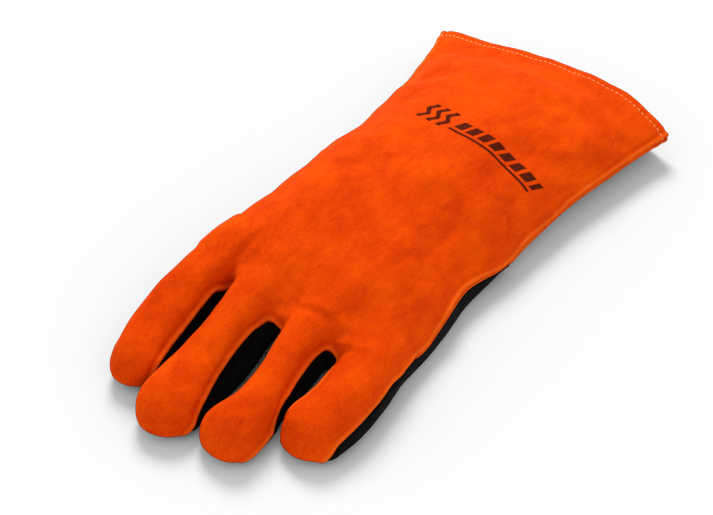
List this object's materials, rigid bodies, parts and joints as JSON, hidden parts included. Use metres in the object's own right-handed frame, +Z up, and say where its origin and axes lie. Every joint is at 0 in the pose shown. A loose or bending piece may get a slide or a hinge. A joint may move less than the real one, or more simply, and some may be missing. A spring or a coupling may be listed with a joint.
{
  "type": "heat resistant glove",
  "caption": "Left-hand leather gauntlet for handling hot cookware: suede back, dark leather palm and finger sides, wide lined cuff, bending fingers, thumb and wrist.",
  "frame": {"origin": "centre of the flat patch on the underside of the palm, on the little-finger side, where the glove rests on a table", "axes": "+Z up through the back of the hand, -Y towards the fingertips, +Y towards the open end of the cuff, +X towards the little-finger side"},
  "size_m": [0.1719, 0.3644, 0.0479],
  "materials": {
    "orange_suede": "napped split suede, matt, mottled from bright orange to dark red-orange",
    "black_leather": "napped black split leather, matt",
    "cotton_lining": "brushed natural cotton fleece",
    "hem_thread": "twisted aramid thread, slightly shiny"
  },
  "bodies": {
    "hand": {"hand_back_panel": "orange_suede", "hand_palm_panel": "black_leather", "fork_crotch_index_middle": "black_leather", "fork_crotch_middle_ring": "black_leather", "fork_crotch_ring_little": "black_leather", "hand_lining": "cotton_lining", "hand_welt_index_side": "orange_suede", "hand_welt_little_side": "orange_suede"},
    "cuff": {"cuff_back_panel": "orange_suede", "cuff_underside_panel": "orange_suede", "cuff_lining": "cotton_lining", "hem_stitching": "hem_thread", "cuff_welt_index_side": "orange_suede", "cuff_welt_little_side": "orange_suede"},
    "index_proximal": {"index_proximal_back": "orange_suede", "index_proximal_palm": "black_leather", "index_proximal_fork_little_side": "black_leather", "index_proximal_lining": "cotton_lining"},
    "index_distal": {"index_distal_back": "orange_suede", "index_distal_palm": "black_leather", "index_distal_fork_little_side": "black_leather", "index_distal_lining": "cotton_lining"},
    "middle_proximal": {"middle_proximal_back": "orange_suede", "middle_proximal_palm": "black_leather", "middle_proximal_fork_index_side": "black_leather", "middle_proximal_fork_little_side": "black_leather", "middle_proximal_lining": "cotton_lining"},
    "middle_distal": {"middle_distal_back": "orange_suede", "middle_distal_palm": "black_leather", "middle_distal_fork_index_side": "black_leather", "middle_distal_fork_little_side": "black_leather", "middle_distal_lining": "cotton_lining"},
    "ring_proximal": {"ring_proximal_back": "orange_suede", "ring_proximal_palm": "black_leather", "ring_proximal_fork_index_side": "black_leather", "ring_proximal_fork_little_side": "black_leather", "ring_proximal_lining": "cotton_lining"},
    "ring_distal": {"ring_distal_back": "orange_suede", "ring_distal_palm": "black_leather", "ring_distal_fork_index_side": "black_leather", "ring_distal_fork_little_side": "black_leather", "ring_distal_lining": "cotton_lining"},
    "little_proximal": {"little_proximal_back": "orange_suede", "little_proximal_palm": "black_leather", "little_proximal_fork_index_side": "black_leather", "little_proximal_lining": "cotton_lining"},
    "little_distal": {"little_distal_back": "orange_suede", "little_distal_palm": "black_leather", "little_distal_fork_index_side": "black_leather", "little_distal_lining": "cotton_lining"},
    "thumb_proximal": {"thumb_proximal_back": "orange_suede", "thumb_proximal_palm": "black_leather", "thumb_proximal_lining": "cotton_lining"},
    "thumb_distal": {"thumb_distal_back": "orange_suede", "thumb_distal_palm": "black_leather", "thumb_distal_lining": "cotton_lining"}
  },
  "joints": [
    {"name": "wrist_bend", "type": "hinge", "parent": "hand", "child": "cuff", "pos_m": [-0.046, 0.044, 0.024], "axis": [1, 0, 0], "range_deg": [-25, 25]},
    {"name": "index_knuckle", "type": "hinge", "parent": "hand", "child": "index_proximal", "pos_m": [-0.09552, -0.07997, 0.02336], "axis": [0.9995, -0.0322, 0], "range_deg": [-10, 65]},
    {"name": "index_middle_joint", "type": "hinge", "parent": "index_proximal", "child": "index_distal", "pos_m": [-0.0948, -0.10996, 0.01534], "axis": [0.999, 0.0437, 0], "range_deg": [0, 70]},
    {"name": "middle_knuckle", "type": "hinge", "parent": "hand", "child": "middle_proximal", "pos_m": [-0.06525, -0.092, 0.01954], "axis": [0.9993, 0.0378, 0], "range_deg": [-10, 65]},
    {"name": "middle_middle_joint", "type": "hinge", "parent": "middle_proximal", "child": "middle_distal", "pos_m": [-0.06256, -0.12187, 0.01281], "axis": [0.9915, 0.13, 0], "range_deg": [0, 70]},
    {"name": "ring_knuckle", "type": "hinge", "parent": "hand", "child": "ring_proximal", "pos_m": [-0.02782, -0.0914, 0.01649], "axis": [0.9902, 0.1398, 0], "range_deg": [-10, 65]},
    {"name": "ring_middle_joint", "type": "hinge", "parent": "ring_proximal", "child": "ring_distal", "pos_m": [-0.0237, -0.1191, 0.0123], "axis": [0.993, 0.118, 0], "range_deg": [0, 70]},
    {"name": "little_knuckle", "type": "hinge", "parent": "hand", "child": "little_proximal", "pos_m": [0.00559, -0.08492, 0.01192], "axis": [0.9957, 0.0923, 0], "range_deg": [-10, 65]},
    {"name": "little_middle_joint", "type": "hinge", "parent": "little_proximal", "child": "little_distal", "pos_m": [0.00649, -0.10589, 0.01094], "axis": [0.9999, -0.0142, 0], "range_deg": [0, 70]},
    {"name": "thumb_base", "type": "hinge", "parent": "hand", "child": "thumb_proximal", "pos_m": [-0.09349, 0.026, 0.01031], "axis": [0, 0, -1], "range_deg": [0, 40]},
    {"name": "thumb_middle_joint", "type": "hinge", "parent": "thumb_proximal", "child": "thumb_distal", "pos_m": [-0.08631, -0.00908, 0.01013], "axis": [0, 0, 1], "range_deg": [0, 45]}
  ]
}
